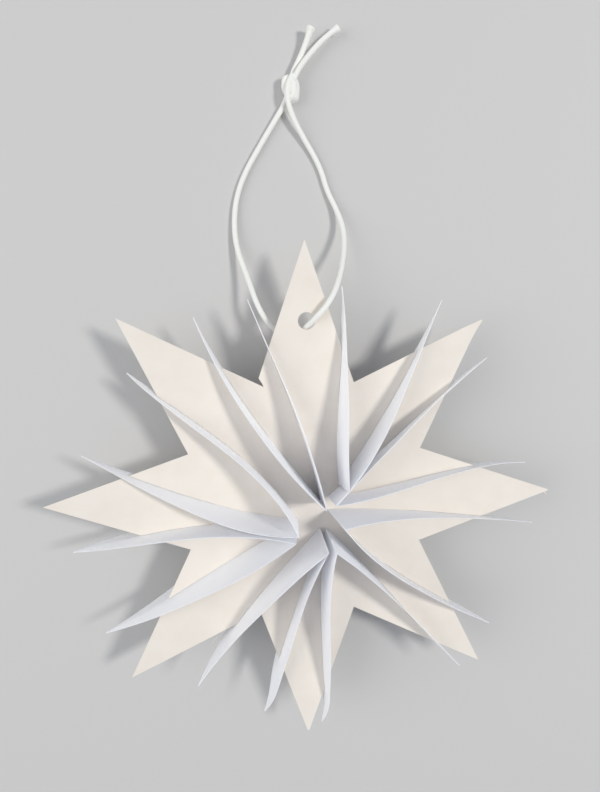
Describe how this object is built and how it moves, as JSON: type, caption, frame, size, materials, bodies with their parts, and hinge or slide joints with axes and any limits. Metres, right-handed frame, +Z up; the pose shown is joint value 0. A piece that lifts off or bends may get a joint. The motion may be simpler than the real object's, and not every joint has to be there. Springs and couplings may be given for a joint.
{
  "type": "folded paper star ornament",
  "caption": "Two-sided paper star on a hanging cord: a flat pointed card with long folded V strips pushed through it, whose needle tips reach past its points.",
  "frame": {"origin": "on the table, straight below the centre of the flat card star, which lies level", "axes": "+Z up, square to the card; +Y from the centre towards the point of the card that holds the cord; +X to the right of it seen from above"},
  "size_m": [0.1799, 0.2546, 0.0374],
  "materials": {
    "card": "matt, faint grain",
    "paper": "matt, smooth",
    "cord": "soft, braided"
  },
  "bodies": {
    "root": {"base_star": "card", "ray_top_left": "paper", "ray_top_right": "paper", "ray_right_upper": "paper", "ray_right_lower": "paper", "ray_bottom_right": "paper", "ray_bottom_left": "paper", "ray_left_lower": "paper", "ray_left_upper": "paper", "cord_loop": "cord", "cord_knot": "cord", "cord_tail_left": "cord", "cord_tail_right": "cord"}
  },
  "joints": []
}
